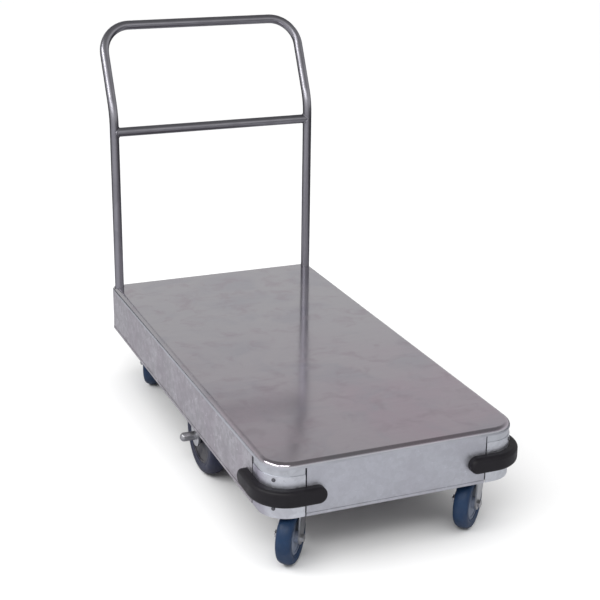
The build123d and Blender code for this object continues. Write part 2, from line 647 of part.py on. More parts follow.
def make_centre_wheels():
    """The two fixed wheels under the middle: fork, axle with its cap outside, hub and tyre."""
    place = Pos(centre_x, centre_y, 0)
    at_axle = Pos(centre_x, centre_y, centre_z)
    crown_low = centre_fork_top - centre_fork_sheet
    half_leg = centre_leg_top / 2
    fork = u_bracket(centre_fork_inner, centre_fork_outer, -half_leg, half_leg,
                     centre_z - centre_leg_eye, crown_low, centre_fork_top, centre_fork_bend)
    side = leg_outline(-half_leg, half_leg, centre_fork_top, 0, centre_z, centre_leg_eye)
    fork &= extrude(Plane.XZ * side, centre_fork_outer, both=True)
    half_plate = centre_fork_inner - centre_fork_bend + centre_fork_sheet
    fork += block(-centre_fork_plate / 2, centre_fork_plate / 2, -half_plate, half_plate,
                  crown_low, centre_fork_top)
    fork = Rot(0, 0, 90) * fork
    hole = m8_bolt["shank"] / 2 + bolt_play
    for spot in four_places(0, 0, centre_bolt_pitch):
        fork -= rod((*spot, crown_low - 1), UP, hole, centre_fork_sheet + 2)
        seat = Vector(centre_x + spot[0], centre_y + spot[1], crown_low)
        length = centre_fork_sheet + beam_sheet + m8_bolt["nut"] + thread_proud / 2
        fork_bolt = bolt(seat, UP, m8_bolt, length)
        fork_nut = nut(seat + UP * (centre_fork_sheet + beam_sheet), UP, m8_bolt)
        shared["centre_fork_bolts"] += [fork_bolt, mirrored(fork_bolt)]
        shared["centre_fork_nuts"] += [fork_nut, mirrored(fork_nut)]
    axle_hole = centre_axle_diameter / 2 + bolt_play
    fork -= rod((-centre_fork_outer - 1, 0, centre_z), (1, 0, 0), axle_hole, 2 * centre_fork_outer + 2)
    right_fork = place * fork
    parts["centre_fork_right"] = right_fork
    parts["centre_fork_left"] = mirrored(right_fork)

    out = Vector(1, 0, 0)
    axle_length = 2 * centre_fork_outer + centre_axle_bite
    axle = at_axle * bolt(Vector(-centre_fork_outer, 0, 0), out, centre_axle_bolt, axle_length)
    parts["centre_axle_right"] = axle
    parts["centre_axle_left"] = mirrored(axle)

    cap = rod((centre_fork_outer, 0, 0), out, centre_cap_diameter / 2, centre_cap_length)
    tip = cap.edges().filter_by(GeomType.CIRCLE).sort_by(Axis.X)[-1:]
    cap = fillet(tip, centre_cap_diameter * 0.42)
    cap -= rod((centre_fork_outer, 0, 0), out, centre_axle_diameter / 2, centre_axle_bite)
    parts["centre_axle_cap_right"] = at_axle * cap
    parts["centre_axle_cap_left"] = mirrored(at_axle * cap)

    core_half = centre_fork_inner - side_play
    across = at_axle * Rot(0, 0, 90)
    wheel_hub = across * hub(centre_axle_diameter, centre_hub_core, core_half,
                             centre_tyre_bore, centre_wheel_width)
    wheel_tyre = across * tyre(centre_wheel_diameter, centre_wheel_width, centre_tyre_bore)
    parts["centre_hub_right"] = wheel_hub
    parts["centre_hub_left"] = mirrored(wheel_hub)
    parts["centre_tyre_right"] = wheel_tyre
    parts["centre_tyre_left"] = mirrored(wheel_tyre)


# ---------------------------------------------------------------- assembly
make_deck()
make_side_skirts()
make_front_skirt()
make_rear_skirt()
make_corner()
make_bumpers()
make_beams()
make_handle()
for corner_name in caster_places:
    make_caster(corner_name)
make_centre_wheels()
for name, solids in shared.items():
    parts[name] = group(solids)

os.makedirs("parts", exist_ok=True)
for node, shape in parts.items():
    export_step(shape, "parts/" + node + ".step")
print(len(parts), "nodes")
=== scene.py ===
"""Studio scene of a six-wheel platform cart: finishes, small formed pieces and the stage."""
import json
import math

import bpy
import numpy as np
from mathutils import Matrix, Vector


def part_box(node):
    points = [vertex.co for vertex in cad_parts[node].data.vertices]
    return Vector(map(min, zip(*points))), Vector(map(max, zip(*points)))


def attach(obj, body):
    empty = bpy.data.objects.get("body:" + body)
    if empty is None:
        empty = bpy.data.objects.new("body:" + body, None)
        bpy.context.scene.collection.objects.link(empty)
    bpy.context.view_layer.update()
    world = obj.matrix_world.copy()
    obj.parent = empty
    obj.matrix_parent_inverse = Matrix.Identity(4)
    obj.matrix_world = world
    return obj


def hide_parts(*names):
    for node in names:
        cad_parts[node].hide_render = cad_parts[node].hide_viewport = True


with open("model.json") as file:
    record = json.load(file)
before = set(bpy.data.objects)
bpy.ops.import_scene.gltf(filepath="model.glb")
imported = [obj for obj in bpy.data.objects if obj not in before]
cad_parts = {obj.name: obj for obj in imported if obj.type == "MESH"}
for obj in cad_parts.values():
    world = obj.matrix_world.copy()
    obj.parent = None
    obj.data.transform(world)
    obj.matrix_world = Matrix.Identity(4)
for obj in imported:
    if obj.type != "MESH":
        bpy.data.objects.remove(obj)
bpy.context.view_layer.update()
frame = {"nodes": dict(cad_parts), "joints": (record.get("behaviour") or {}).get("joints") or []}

bl_info = {
    "name": "Platform cart studio",
    "version": (1, 0, 0),
    "blender": (4, 5, 0),
    "location": "View3D > Sidebar > Cart",
    "description": "Finishes, tyres and weld beads of a platform cart, and its stage",
    "category": "Object",
}

NODES = frame["nodes"]
JOINTS = {joint["name"]: joint for joint in frame["joints"]}
CORNERS = ("front_left", "front_right", "rear_left", "rear_right")
SIDES = ("left", "right")
MM = 0.001

# tyres: how round the tread is, where its mould lines run (0 middle, 1 edge) and how fine the turned mesh is
TREAD_POWER = 2.6
TREAD_ROUNDING = 0.34
LINE_PLACE = 0.62
LINE_WIDTH = 0.02
TYRE_STEPS = 144

# stage, in metres: half the floor's side, the corner that both lights face, and each light's place and size
FLOOR_REACH = 60.0
LIT_CORNER = (-0.27, -0.6, 0.25)
KEY_PLACE = (-2.3, -0.7, 2.2)
KEY_SIZE = (2.8, 0.7)
FRONT_PLACE = (-1.1, -2.3, 2.35)
FRONT_SIZE = (1.4, 0.6)

# dust colours near the floor
SHEET_DUST = (0.24, 0.225, 0.21)
PLATED_DUST = (0.20, 0.185, 0.17)
RUBBER_DUST = (0.20, 0.19, 0.18)
HUB_DUST = (0.22, 0.21, 0.20)


# ------------------------------------------------------------------ settings
def colour_property(name, description, default):
    """A colour that shows as a swatch in the sidebar."""
    return bpy.props.FloatVectorProperty(
        name=name, description=description, default=default, subtype="COLOR", size=3, min=0.0, max=1.0)


class CartFinishSettings(bpy.types.PropertyGroup):
    """Colours and gloss of the cart's finishes."""

    deck_colour: colour_property("Deck", "Bare colour of the deck's steel", (0.50, 0.485, 0.515))
    deck_roughness: bpy.props.FloatProperty(
        name="Deck roughness", description="Blur of what the deck mirrors", default=0.070, min=0.0, max=1.0)
    sheet_colour: colour_property("Skirts", "Galvanised sheet of the skirts", (0.48, 0.465, 0.495))
    front_colour: colour_property("Front skirt", "Cleaner sheet of the front skirt", (0.545, 0.555, 0.60))
    sheet_roughness: bpy.props.FloatProperty(
        name="Skirt roughness", description="Blur of the galvanised sheet", default=0.40, min=0.0, max=1.0)
    cover_colour: colour_property("Corner covers", "Smoother sheet of the corner covers", (0.66, 0.68, 0.72))
    frame_colour: colour_property("Frame", "Dull galvanised sheet under the deck", (0.36, 0.36, 0.38))
    # painted shade: this near-black colour stands for the shade in the seams, not for the posts' steel
    seam_shade_colour: colour_property("Posts", "Dark steel of the posts in the seams", (0.015, 0.015, 0.025))
    tube_colour: colour_property("Handle tube", "Polished steel of the handle", (0.30, 0.295, 0.325))
    zinc_colour: colour_property("Forks", "Zinc-plated forks and plates", (0.62, 0.63, 0.65))
    fastener_colour: colour_property("Fasteners", "Bright zinc of bolts, nuts and axles", (0.62, 0.62, 0.64))
    dark_fastener_colour: colour_property("Dark screws", "Dull cover screws", (0.15, 0.15, 0.165))
    bearing_colour: colour_property("Bearing balls", "Polished bearing steel", (0.70, 0.70, 0.71))
    bumper_colour: colour_property("Bumpers", "Black rubber with a warm tint", (0.0080, 0.0070, 0.0095))
    caster_tyre_colour: colour_property("Caster tyres", "Dark blue rubber", (0.0085, 0.026, 0.066))
    centre_tyre_colour: colour_property("Centre tyres", "Dark slate rubber", (0.016, 0.019, 0.040))
    hub_colour: colour_property("Hubs", "Grey moulded hubs", (0.150, 0.180, 0.250))
    # painted shade: the centre hubs are coloured near-black for the shade under the deck
    centre_hub_shade_colour: colour_property("Centre hubs", "Dark moulded hubs", (0.010, 0.011, 0.022))


class CartDetailSettings(bpy.types.PropertyGroup):
    """Sizes of the small formed pieces."""

    weld_radius: bpy.props.FloatProperty(
        name="Weld bead", description="Radius of the bead round a crossbar's end", default=2.4 * MM,
        unit="LENGTH")
    weld_ripple: bpy.props.FloatProperty(
        name="Weld ripple", description="Height of the ripples along a bead", default=0.35 * MM,
        unit="LENGTH")
    weld_ripples: bpy.props.IntProperty(
        name="Ripples", description="Ripples round one bead", default=26, min=0)
    parting_line: bpy.props.FloatProperty(
        name="Parting line", description="Depth of the mould lines on a tyre", default=0.35 * MM,
        unit="LENGTH")
    sidewall_step: bpy.props.FloatProperty(
        name="Sidewall step", description="Depth of the ring pressed into a tyre's side", default=0.9 * MM,
        unit="LENGTH")


class CartStageSettings(bpy.types.PropertyGroup):
    """Camera, floor and lights."""

    camera_place: bpy.props.FloatVectorProperty(
        name="Camera", description="Camera position", default=(-1.2327, -3.0616, 1.5454), size=3,
        subtype="TRANSLATION")
    camera_heading: bpy.props.FloatProperty(
        name="Heading", description="Turn of the camera from +Y towards +X", default=math.radians(22.567),
        subtype="ANGLE")
    camera_tilt: bpy.props.FloatProperty(
        name="Tilt", description="Camera's angle below the horizon", default=math.radians(19.631),
        subtype="ANGLE")
    camera_roll: bpy.props.FloatProperty(
        name="Roll", description="Camera's turn about its own line of sight", default=math.radians(0.757),
        subtype="ANGLE")
    camera_lens: bpy.props.FloatProperty(
        name="Lens", description="Focal length on a 36 mm sensor", default=81.77, unit="CAMERA")
    floor_colour: colour_property("Floor", "Pale floor", (0.86, 0.86, 0.86))
    floor_mirrored: colour_property("Floor in reflections", "Floor as polished metal mirrors it",
                                    (0.48, 0.48, 0.50))
    room_light: bpy.props.FloatProperty(
        name="Room light", description="Light that the ceiling sheds on everything", default=1.42, min=0.0)
    wall_light: bpy.props.FloatProperty(
        name="Wall light", description="Light that the walls shed on everything", default=0.12, min=0.0)
    wall_behind: bpy.props.FloatProperty(
        name="Wall behind", description="Mirrored brightness of the room at the handle's end", default=0.62,
        min=0.0)
    wall_front: bpy.props.FloatProperty(
        name="Wall in front", description="Mirrored brightness of the room at the bumpers' end", default=0.85,
        min=0.0)
    ceiling: bpy.props.FloatProperty(
        name="Ceiling", description="Mirrored brightness of the ceiling", default=0.20, min=0.0)
    key_power: bpy.props.FloatProperty(
        name="Key light", description="Power of the softbox on the left", default=42.0, unit="POWER")
    front_power: bpy.props.FloatProperty(
        name="Front light", description="Power of the softbox in front", default=16.0, unit="POWER")


# ------------------------------------------------------------------ node helpers
def new_group(name, inputs, outputs):
    """An empty shader node group with named inputs (name, kind, default) and outputs (name, kind)."""
    tree = bpy.data.node_groups.new(name, "ShaderNodeTree")
    for label, kind, default in inputs:
        socket = tree.interface.new_socket(name=label, in_out="INPUT", socket_type=kind)
        socket.default_value = default
    for label, kind in outputs:
        tree.interface.new_socket(name=label, in_out="OUTPUT", socket_type=kind)
    return tree, tree.nodes.new("NodeGroupInput"), tree.nodes.new("NodeGroupOutput")


def feed(tree, value, socket):
    """Joins an output to a socket, or sets the socket to a plain value."""
    if isinstance(value, bpy.types.NodeSocket):
        tree.links.new(value, socket)
    else:
        socket.default_value = value


def arithmetic(tree, operation, first, second=0.0):
    """One operation on two values."""
    node = tree.nodes.new("ShaderNodeMath")
    node.operation = operation
    feed(tree, first, node.inputs[0])
    feed(tree, second, node.inputs[1])
    return node.outputs[0]


def times(tree, first, second):
    """The product of two values."""
    return arithmetic(tree, "MULTIPLY", first, second)


def plus(tree, first, second):
    """The sum of two values."""
    return arithmetic(tree, "ADD", first, second)


def spread(tree, value, low, high, to_low=0.0, to_high=1.0):
    """Maps a range of values smoothly onto another, held at both ends."""
    node = tree.nodes.new("ShaderNodeMapRange")
    node.interpolation_type = "SMOOTHSTEP"
    for socket, setting in zip(node.inputs, (value, low, high, to_low, to_high)):
        feed(tree, setting, socket)
    return node.outputs["Result"]


def blend_colour(tree, factor, first, second):
    """Mixes two colours."""
    node = tree.nodes.new("ShaderNodeMix")
    node.data_type = "RGBA"
    feed(tree, factor, node.inputs["Factor"])
    for label, value in (("A", first), ("B", second)):
        socket = [s for s in node.inputs if s.name == label and s.type == "RGBA"][0]
        feed(tree, value if isinstance(value, bpy.types.NodeSocket) else (*value, 1.0), socket)
    return [s for s in node.outputs if s.type == "RGBA"][0]


def noise(tree, place, scale, detail=3.0, roughness=0.5, distortion=0.0):
    """Cloudy noise over a place."""
    node = tree.nodes.new("ShaderNodeTexNoise")
    feed(tree, place, node.inputs["Vector"])
    feed(tree, scale, node.inputs["Scale"])
    node.inputs["Detail"].default_value = detail
    node.inputs["Roughness"].default_value = roughness
    node.inputs["Distortion"].default_value = distortion
    return node.outputs["Fac"]


def stretched(tree, place, factors):
    """A place stretched along its three axes."""
    node = tree.nodes.new("ShaderNodeVectorMath")
    node.operation = "MULTIPLY"
    feed(tree, place, node.inputs[0])
    feed(tree, factors, node.inputs[1])
    return node.outputs[0]


def spangle_group():
    """Crystals of a galvanised coat: cells of two sizes, each with its own shade."""
    tree, start, end = new_group(
        "spangle",
        [("Place", "NodeSocketVector", (0.0, 0.0, 0.0)), ("Cells per metre", "NodeSocketFloat", 70.0)],
        [("Shade", "NodeSocketFloat"), ("Height", "NodeSocketFloat")])
    shades = []
    for factor in (1.0, 2.7):
        cells = tree.nodes.new("ShaderNodeTexVoronoi")
        warp = noise(tree, start.outputs["Place"], 45.0, 2.0)
        moved = tree.nodes.new("ShaderNodeVectorMath")
        moved.operation = "MULTIPLY_ADD"
        feed(tree, warp, moved.inputs[0])
        moved.inputs[1].default_value = (0.014, 0.014, 0.014)
        feed(tree, start.outputs["Place"], moved.inputs[2])
        feed(tree, moved.outputs[0], cells.inputs["Vector"])
        size = times(tree, start.outputs["Cells per metre"], factor)
        feed(tree, size, cells.inputs["Scale"])
        parts = tree.nodes.new("ShaderNodeSeparateColor")
        feed(tree, cells.outputs["Color"], parts.inputs[0])
        shades.append(parts.outputs[0])
    coarse = times(tree, shades[0], 0.62)
    fine = times(tree, shades[1], 0.38)
    both = plus(tree, coarse, fine)
    feed(tree, both, end.inputs["Shade"])
    feed(tree, both, end.inputs["Height"])
    return tree


def blotch_group():
    """Large soft patches, such as handling marks and dull areas."""
    tree, start, end = new_group(
        "blotches",
        [("Place", "NodeSocketVector", (0.0, 0.0, 0.0)), ("Size", "NodeSocketFloat", 5.0),
         ("Low", "NodeSocketFloat", 0.40), ("High", "NodeSocketFloat", 0.62)],
        [("Patch", "NodeSocketFloat")])
    cloud = noise(tree, start.outputs["Place"], start.outputs["Size"], 5.0, 0.58, 0.6)
    feed(tree, spread(tree, cloud, start.outputs["Low"], start.outputs["High"]), end.inputs["Patch"])
    return tree


def grain_group():
    """Fine lines drawn out along one axis, as rolling, brushing or polishing leaves them."""
    tree, start, end = new_group(
        "drawn_grain",
        [("Place", "NodeSocketVector", (0.0, 0.0, 0.0)),
         ("Lines", "NodeSocketVector", (900.0, 12.0, 900.0))],
        [("Streak", "NodeSocketFloat"), ("Height", "NodeSocketFloat")])
    lines = stretched(tree, start.outputs["Place"], start.outputs["Lines"])
    streak = noise(tree, lines, 1.0, 4.0, 0.65)
    feed(tree, streak, end.inputs["Streak"])
    feed(tree, spread(tree, streak, 0.25, 0.75), end.inputs["Height"])
    return tree


def grime_group():
    """Dust and road dirt that thickens towards the floor."""
    tree, start, end = new_group(
        "grime",
        [("Place", "NodeSocketVector", (0.0, 0.0, 0.0)), ("Clean above", "NodeSocketFloat", 0.16),
         ("Amount", "NodeSocketFloat", 0.5)],
        [("Mask", "NodeSocketFloat")])
    axes = tree.nodes.new("ShaderNodeSeparateXYZ")
    feed(tree, start.outputs["Place"], axes.inputs[0])
    height = spread(tree, axes.outputs["Z"], 0.0, start.outputs["Clean above"], 1.0, 0.0)
    cloud = spread(tree, noise(tree, start.outputs["Place"], 38.0, 5.0, 0.6), 0.30, 0.70)
    mask = times(tree, times(tree, height, cloud), start.outputs["Amount"])
    feed(tree, mask, end.inputs["Mask"])
    return tree


def speckle_group():
    """Small bright or dark flecks, and the fine pores of a moulded surface."""
    tree, start, end = new_group(
        "speckle",
        [("Place", "NodeSocketVector", (0.0, 0.0, 0.0)), ("Size", "NodeSocketFloat", 420.0)],
        [("Fleck", "NodeSocketFloat"), ("Height", "NodeSocketFloat")])
    fine = noise(tree, start.outputs["Place"], start.outputs["Size"], 2.0, 0.7)
    feed(tree, spread(tree, fine, 0.56, 0.66), end.inputs["Fleck"])
    feed(tree, fine, end.inputs["Height"])
    return tree


GROUP_MAKERS = {
    "spangle": spangle_group,
    "blotches": blotch_group,
    "drawn_grain": grain_group,
    "grime": grime_group,
    "speckle": speckle_group,
}


class Finish:
    """A material under construction: its tree, its shader and the place that its patterns follow."""

    def __init__(self, name, metallic, specular=0.5):
        self.material = bpy.data.materials.new(name)
        self.material.use_nodes = True
        self.tree = self.material.node_tree
        self.shader = self.tree.nodes["Principled BSDF"]
        self.shader.inputs["Metallic"].default_value = metallic
        self.shader.inputs["Specular IOR Level"].default_value = specular
        self.place = self.tree.nodes.new("ShaderNodeTexCoord").outputs["Object"]

    def effect(self, group, **values):
        """Places a shared effect with this material's own values and returns its outputs."""
        if group not in bpy.data.node_groups:
            GROUP_MAKERS[group]()
        node = self.tree.nodes.new("ShaderNodeGroup")
        node.node_tree = bpy.data.node_groups[group]
        feed(self.tree, self.place, node.inputs["Place"])
        for label, value in values.items():
            node.inputs[label.replace("_", " ")].default_value = value
        return node.outputs

    def bump(self, height, strength, distance, under=None):
        """A relief on top of another one."""
        node = self.tree.nodes.new("ShaderNodeBump")
        node.inputs["Strength"].default_value = strength
        node.inputs["Distance"].default_value = distance
        feed(self.tree, height, node.inputs["Height"])
        if under is not None:
            feed(self.tree, under, node.inputs["Normal"])
        return node.outputs["Normal"]

    def done(self, colour, roughness, normal):
        """Joins the finished colour, roughness and relief to the shader."""
        feed(self.tree, colour, self.shader.inputs["Base Color"])
        feed(self.tree, roughness, self.shader.inputs["Roughness"])
        feed(self.tree, normal, self.shader.inputs["Normal"])
        return self.material


def tinted(colour, factor):
    """A colour made lighter or darker."""
    return tuple(min(1.0, channel * factor) for channel in colour)


# ------------------------------------------------------------------ finishes
def deck_finish(settings):
    """Smooth rolled steel: near-mirror, with dull patches, painted shade that darkens it to mauve towards the
    front, and fine rolling lines.
    """
    finish = Finish("deck_steel_finish", 1.0)
    tree = finish.tree
    base = tuple(settings.deck_colour)
    mauve = (base[0] * 1.00, base[1] * 0.86, base[2] * 0.93)
    slate = (base[0] * 0.84, base[1] * 0.85, base[2] * 0.90)
    broad = finish.effect("blotches", Size=2.6, Low=0.40, High=0.66)["Patch"]
    middle = finish.effect("blotches", Size=6.5, Low=0.44, High=0.70)["Patch"]
    small = finish.effect("blotches", Size=17.0, Low=0.48, High=0.74)["Patch"]
    grain = finish.effect("drawn_grain", Lines=(9.0, 300.0, 300.0))
    axes = tree.nodes.new("ShaderNodeSeparateXYZ")
    feed(tree, finish.place, axes.inputs[0])
    # painted shade: towards the front the deck is darkened to mauve; the same ramp makes it a little rougher
    # there
    forward = spread(tree, axes.outputs["Y"], 0.30, -0.60)
    painted_front_shade = times(tree, plus(tree, times(tree, broad, 0.6), 0.4),
                       forward)
    colour = blend_colour(tree, painted_front_shade, base, mauve)
    colour = blend_colour(tree, times(tree, middle, 0.60), colour, slate)
    colour = blend_colour(tree, times(tree, small, 0.50), colour, tinted(mauve, 0.82))
    streak = spread(tree, grain["Streak"], 0.35, 0.75)
    colour = blend_colour(tree, times(tree, streak, 0.10), colour, tinted(base, 1.35))
    rough = plus(tree, settings.deck_roughness, times(tree, broad, 0.04))
    rough = plus(tree, rough, times(tree, small, 0.08))
    rough = plus(tree, rough, times(tree, forward, 0.06))
    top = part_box("deck_sheet")[1][2]
    rim = spread(tree, axes.outputs["Z"], top - 9.0 * MM, top - 4.0 * MM, 1.0, 0.0)
    sheet = blend_colour(tree, middle, tuple(settings.front_colour), tinted(settings.front_colour, 0.86))
    colour = blend_colour(tree, rim, colour, sheet)
    rough = plus(tree, rough, times(tree, rim, 0.22))
    waves = noise(tree, finish.place, 3.5, 1.0)
    normal = finish.bump(waves, 0.10, 3.0 * MM)
    return finish.done(colour, rough, normal)


def galvanised_finish(name, base, roughness, contrast, cells, paint_shade_on_side=False):
    """Galvanised sheet: crystals of slightly different shades, dull patches and a dusty lower edge; on a
    corner cover, painted shade along its side.
    """
    finish = Finish(name, 1.0)
    tree = finish.tree
    spangle = finish.effect("spangle", Cells_per_metre=cells)
    patches = finish.effect("blotches", Size=7.0, Low=0.38, High=0.68)["Patch"]
    flecks = finish.effect("speckle", Size=260.0)["Fleck"]
    grime = finish.effect("grime", Clean_above=0.19, Amount=0.55)["Mask"]
    shade = spread(tree, spangle["Shade"], 0.15, 0.85)
    colour = blend_colour(tree, shade, tinted(base, 1.0 - contrast), tinted(base, 1.0 + contrast))
    stain = (base[0] * 0.84, base[1] * 0.78, base[2] * 0.82)
    colour = blend_colour(tree, times(tree, patches, 3.5 * contrast), colour, stain)
    glints = times(tree, spread(tree, spangle["Shade"], 0.76, 0.90), flecks)
    colour = blend_colour(tree, times(tree, glints, 6.0 * contrast), colour, tinted(base, 1.7))
    # painted shade: the side of a corner cover is darkened to a mottled mauve grey
    if paint_shade_on_side:
        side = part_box("corner_cover_right")[1][1]
        axes = tree.nodes.new("ShaderNodeSeparateXYZ")
        feed(tree, finish.place, axes.inputs[0])
        painted_side_shade = spread(tree, axes.outputs["Y"], side - 75.0 * MM, side - 30.0 * MM, 0.0, 0.75)
        painted_side_shade = times(tree, painted_side_shade, spread(tree, patches, 0.0, 0.8, 0.6, 1.0))
        colour = blend_colour(tree, painted_side_shade, colour, (base[0] * 0.55, base[1] * 0.48, base[2] * 0.58))
    colour = blend_colour(tree, grime, colour, SHEET_DUST)
    rough = plus(tree, roughness, times(tree, shade, 0.10))
    rough = plus(tree, rough, times(tree, patches, 0.08))
    waves = noise(tree, finish.place, 9.0, 2.0)
    normal = finish.bump(waves, 0.30, 2.5 * MM)
    normal = finish.bump(spangle["Height"], 0.10, 0.20 * MM, normal)
    return finish.done(colour, rough, normal)


def post_finish(settings):
    """Corner posts: plain sheet behind the round corners, near-black painted shade in the seams and behind
    the skirts.
    """
    finish = Finish("post_finish", 1.0)
    tree = finish.tree
    low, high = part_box("corner_cover_right")
    axes = tree.nodes.new("ShaderNodeSeparateXYZ")
    feed(tree, finish.place, axes.inputs[0])
    aside = arithmetic(tree, "ABSOLUTE", axes.outputs["X"])
    # painted shade: where a post shows in a seam or lies behind a skirt it is coloured near-black
    behind = spread(tree, axes.outputs["Y"], high[1] - 1.0 * MM, high[1] + 0.5 * MM)
    inner = spread(tree, aside, low[0] - 0.5 * MM, low[0] + 1.0 * MM, 1.0, 0.0)
    painted_seam_shade = arithmetic(tree, "MAXIMUM", behind, inner)
    patches = finish.effect("blotches", Size=26.0, Low=0.42, High=0.66)["Patch"]
    base = tinted(settings.cover_colour, 0.86)
    colour = blend_colour(tree, times(tree, patches, 0.6), base, tinted(base, 0.70))
    colour = blend_colour(tree, painted_seam_shade, colour, tuple(settings.seam_shade_colour))
    rough = plus(tree, 0.28, times(tree, painted_seam_shade, 0.35))
    speckle = finish.effect("speckle", Size=260.0)
    return finish.done(colour, rough, finish.bump(speckle["Height"], 0.08, 0.15 * MM))


def tube_finish(settings):
    """Polished steel tube: dull grey with fine rings from polishing and a few darker patches, and a dark edge
    tint that paints shade along its edges.
    """
    finish = Finish("handle_tube_finish", 1.0)
    # painted shade: the dark edge tint darkens the tube towards its outline
    finish.shader.inputs["Specular Tint"].default_value = (0.22, 0.21, 0.25, 1.0)
    tree = finish.tree
    base = tuple(settings.tube_colour)
    grain = finish.effect("drawn_grain", Lines=(160.0, 160.0, 700.0))
    patches = finish.effect("blotches", Size=11.0, Low=0.42, High=0.64)["Patch"]
    colour = blend_colour(tree, times(tree, patches, 0.5), base, tinted(base, 0.72))
    rough = plus(tree, 0.26, times(tree, grain["Streak"], 0.08))
    rough = plus(tree, rough, times(tree, patches, 0.06))
    normal = finish.bump(grain["Height"], 0.04, 0.05 * MM)
    return finish.done(colour, rough, normal)


def plated_finish(name, base, roughness):
    """Zinc plating on pressed steel and fasteners: bright, lightly pitted, dustier near the floor."""
    finish = Finish(name, 1.0)
    tree = finish.tree
    patches = finish.effect("blotches", Size=45.0, Low=0.40, High=0.65)["Patch"]
    speckle = finish.effect("speckle", Size=900.0)
    grime = finish.effect("grime", Clean_above=0.15, Amount=0.5)["Mask"]
    colour = blend_colour(tree, times(tree, patches, 0.5), base, tinted(base, 0.82))
    colour = blend_colour(tree, grime, colour, PLATED_DUST)
    rough = plus(tree, roughness, times(tree, patches, 0.10))
    normal = finish.bump(speckle["Height"], 0.12, 0.10 * MM)
    return finish.done(colour, rough, normal)


def rubber_finish(name, base, roughness, dust):
    """Moulded rubber: fine pores, faint scuffs and floor dust on what rolls."""
    finish = Finish(name, 0.0, specular=0.22)
    tree = finish.tree
    speckle = finish.effect("speckle", Size=1100.0)
    patches = finish.effect("blotches", Size=22.0, Low=0.40, High=0.66)["Patch"]
    grime = finish.effect("grime", Clean_above=0.14, Amount=dust)["Mask"]
    colour = blend_colour(tree, times(tree, patches, 0.5), base, tinted(base, 1.45))
    colour = blend_colour(tree, times(tree, speckle["Fleck"], 0.12), colour, tinted(base, 2.2))
    colour = blend_colour(tree, grime, colour, RUBBER_DUST)
    rough = plus(tree, roughness, times(tree, patches, 0.12))
    rough = plus(tree, rough, times(tree, grime, 0.25))
    normal = finish.bump(speckle["Height"], 0.20, 0.12 * MM)
    return finish.done(colour, rough, normal)


def hub_finish(name, base):
    """Moulded grey hub: matt, with a fine texture and dust in it."""
    finish = Finish(name, 0.0, specular=0.3)
    tree = finish.tree
    speckle = finish.effect("speckle", Size=800.0)
    patches = finish.effect("blotches", Size=30.0, Low=0.40, High=0.66)["Patch"]
    grime = finish.effect("grime", Clean_above=0.20, Amount=0.35)["Mask"]
    colour = blend_colour(tree, times(tree, patches, 0.4), base, tinted(base, 1.25))
    colour = blend_colour(tree, grime, colour, HUB_DUST)
    normal = finish.bump(speckle["Height"], 0.25, 0.15 * MM)
    return finish.done(colour, plus(tree, 0.46, times(tree, patches, 0.1)), normal)


# ------------------------------------------------------------------ mesh helpers
def dress(names, material):
    """Gives CAD nodes a finish."""
    for name in names:
        mesh = NODES[name].data
        mesh.materials.clear()
        mesh.materials.append(material)


def grid_faces(rows, columns, close_rows, close_columns):
    """Four-cornered faces of a grid of points, row by row, closed round either way if asked."""
    i = np.arange(rows if close_rows else rows - 1)
    j = np.arange(columns if close_columns else columns - 1)
    i, j = np.meshgrid(i, j, indexing="ij")
    i2 = (i + 1) % rows
    j2 = (j + 1) % columns
    corners = (i * columns + j, i2 * columns + j, i2 * columns + j2, i * columns + j2)
    return np.stack([corner.ravel() for corner in corners], axis=1)


def add_piece(name, points, faces, material, body, node=None):
    """Makes a smooth mesh piece that rides on a body and may stand for a CAD node."""
    mesh = bpy.data.meshes.new(name)
    mesh.from_pydata(points.tolist(), [], faces.tolist())
    mesh.shade_smooth()
    mesh.materials.append(material)
    mesh.update()
    piece = bpy.data.objects.new(name, mesh)
    bpy.context.scene.collection.objects.link(piece)
    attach(piece, body)
    if node:
        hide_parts(node)


def unit(vector):
    """A vector of length one."""
    return vector / np.linalg.norm(vector)


def turned_piece(centre, axis, profile, steps):
    """Points of a profile carried round an axis.

    A profile point (a, r) at turn t lies at centre + a * axis + r * (cos t * u + sin t * v), where u and v
    are square to the axis. The profile is a closed loop, so the surface is a closed ring.
    """
    axis = unit(np.asarray(axis, float))
    u = unit(np.cross(axis, (0.0, 0.0, 1.0)))
    v = np.cross(axis, u)
    turn = np.linspace(0.0, 2.0 * np.pi, steps, endpoint=False)
    spokes = np.cos(turn)[:, None] * u + np.sin(turn)[:, None] * v
    along = profile[:, 0][None, :, None] * axis
    out = profile[:, 1][None, :, None] * spokes[:, None, :]
    points = np.asarray(centre, float) + along + out
    return points.reshape(-1, 3), grid_faces(steps, len(profile), True, True)


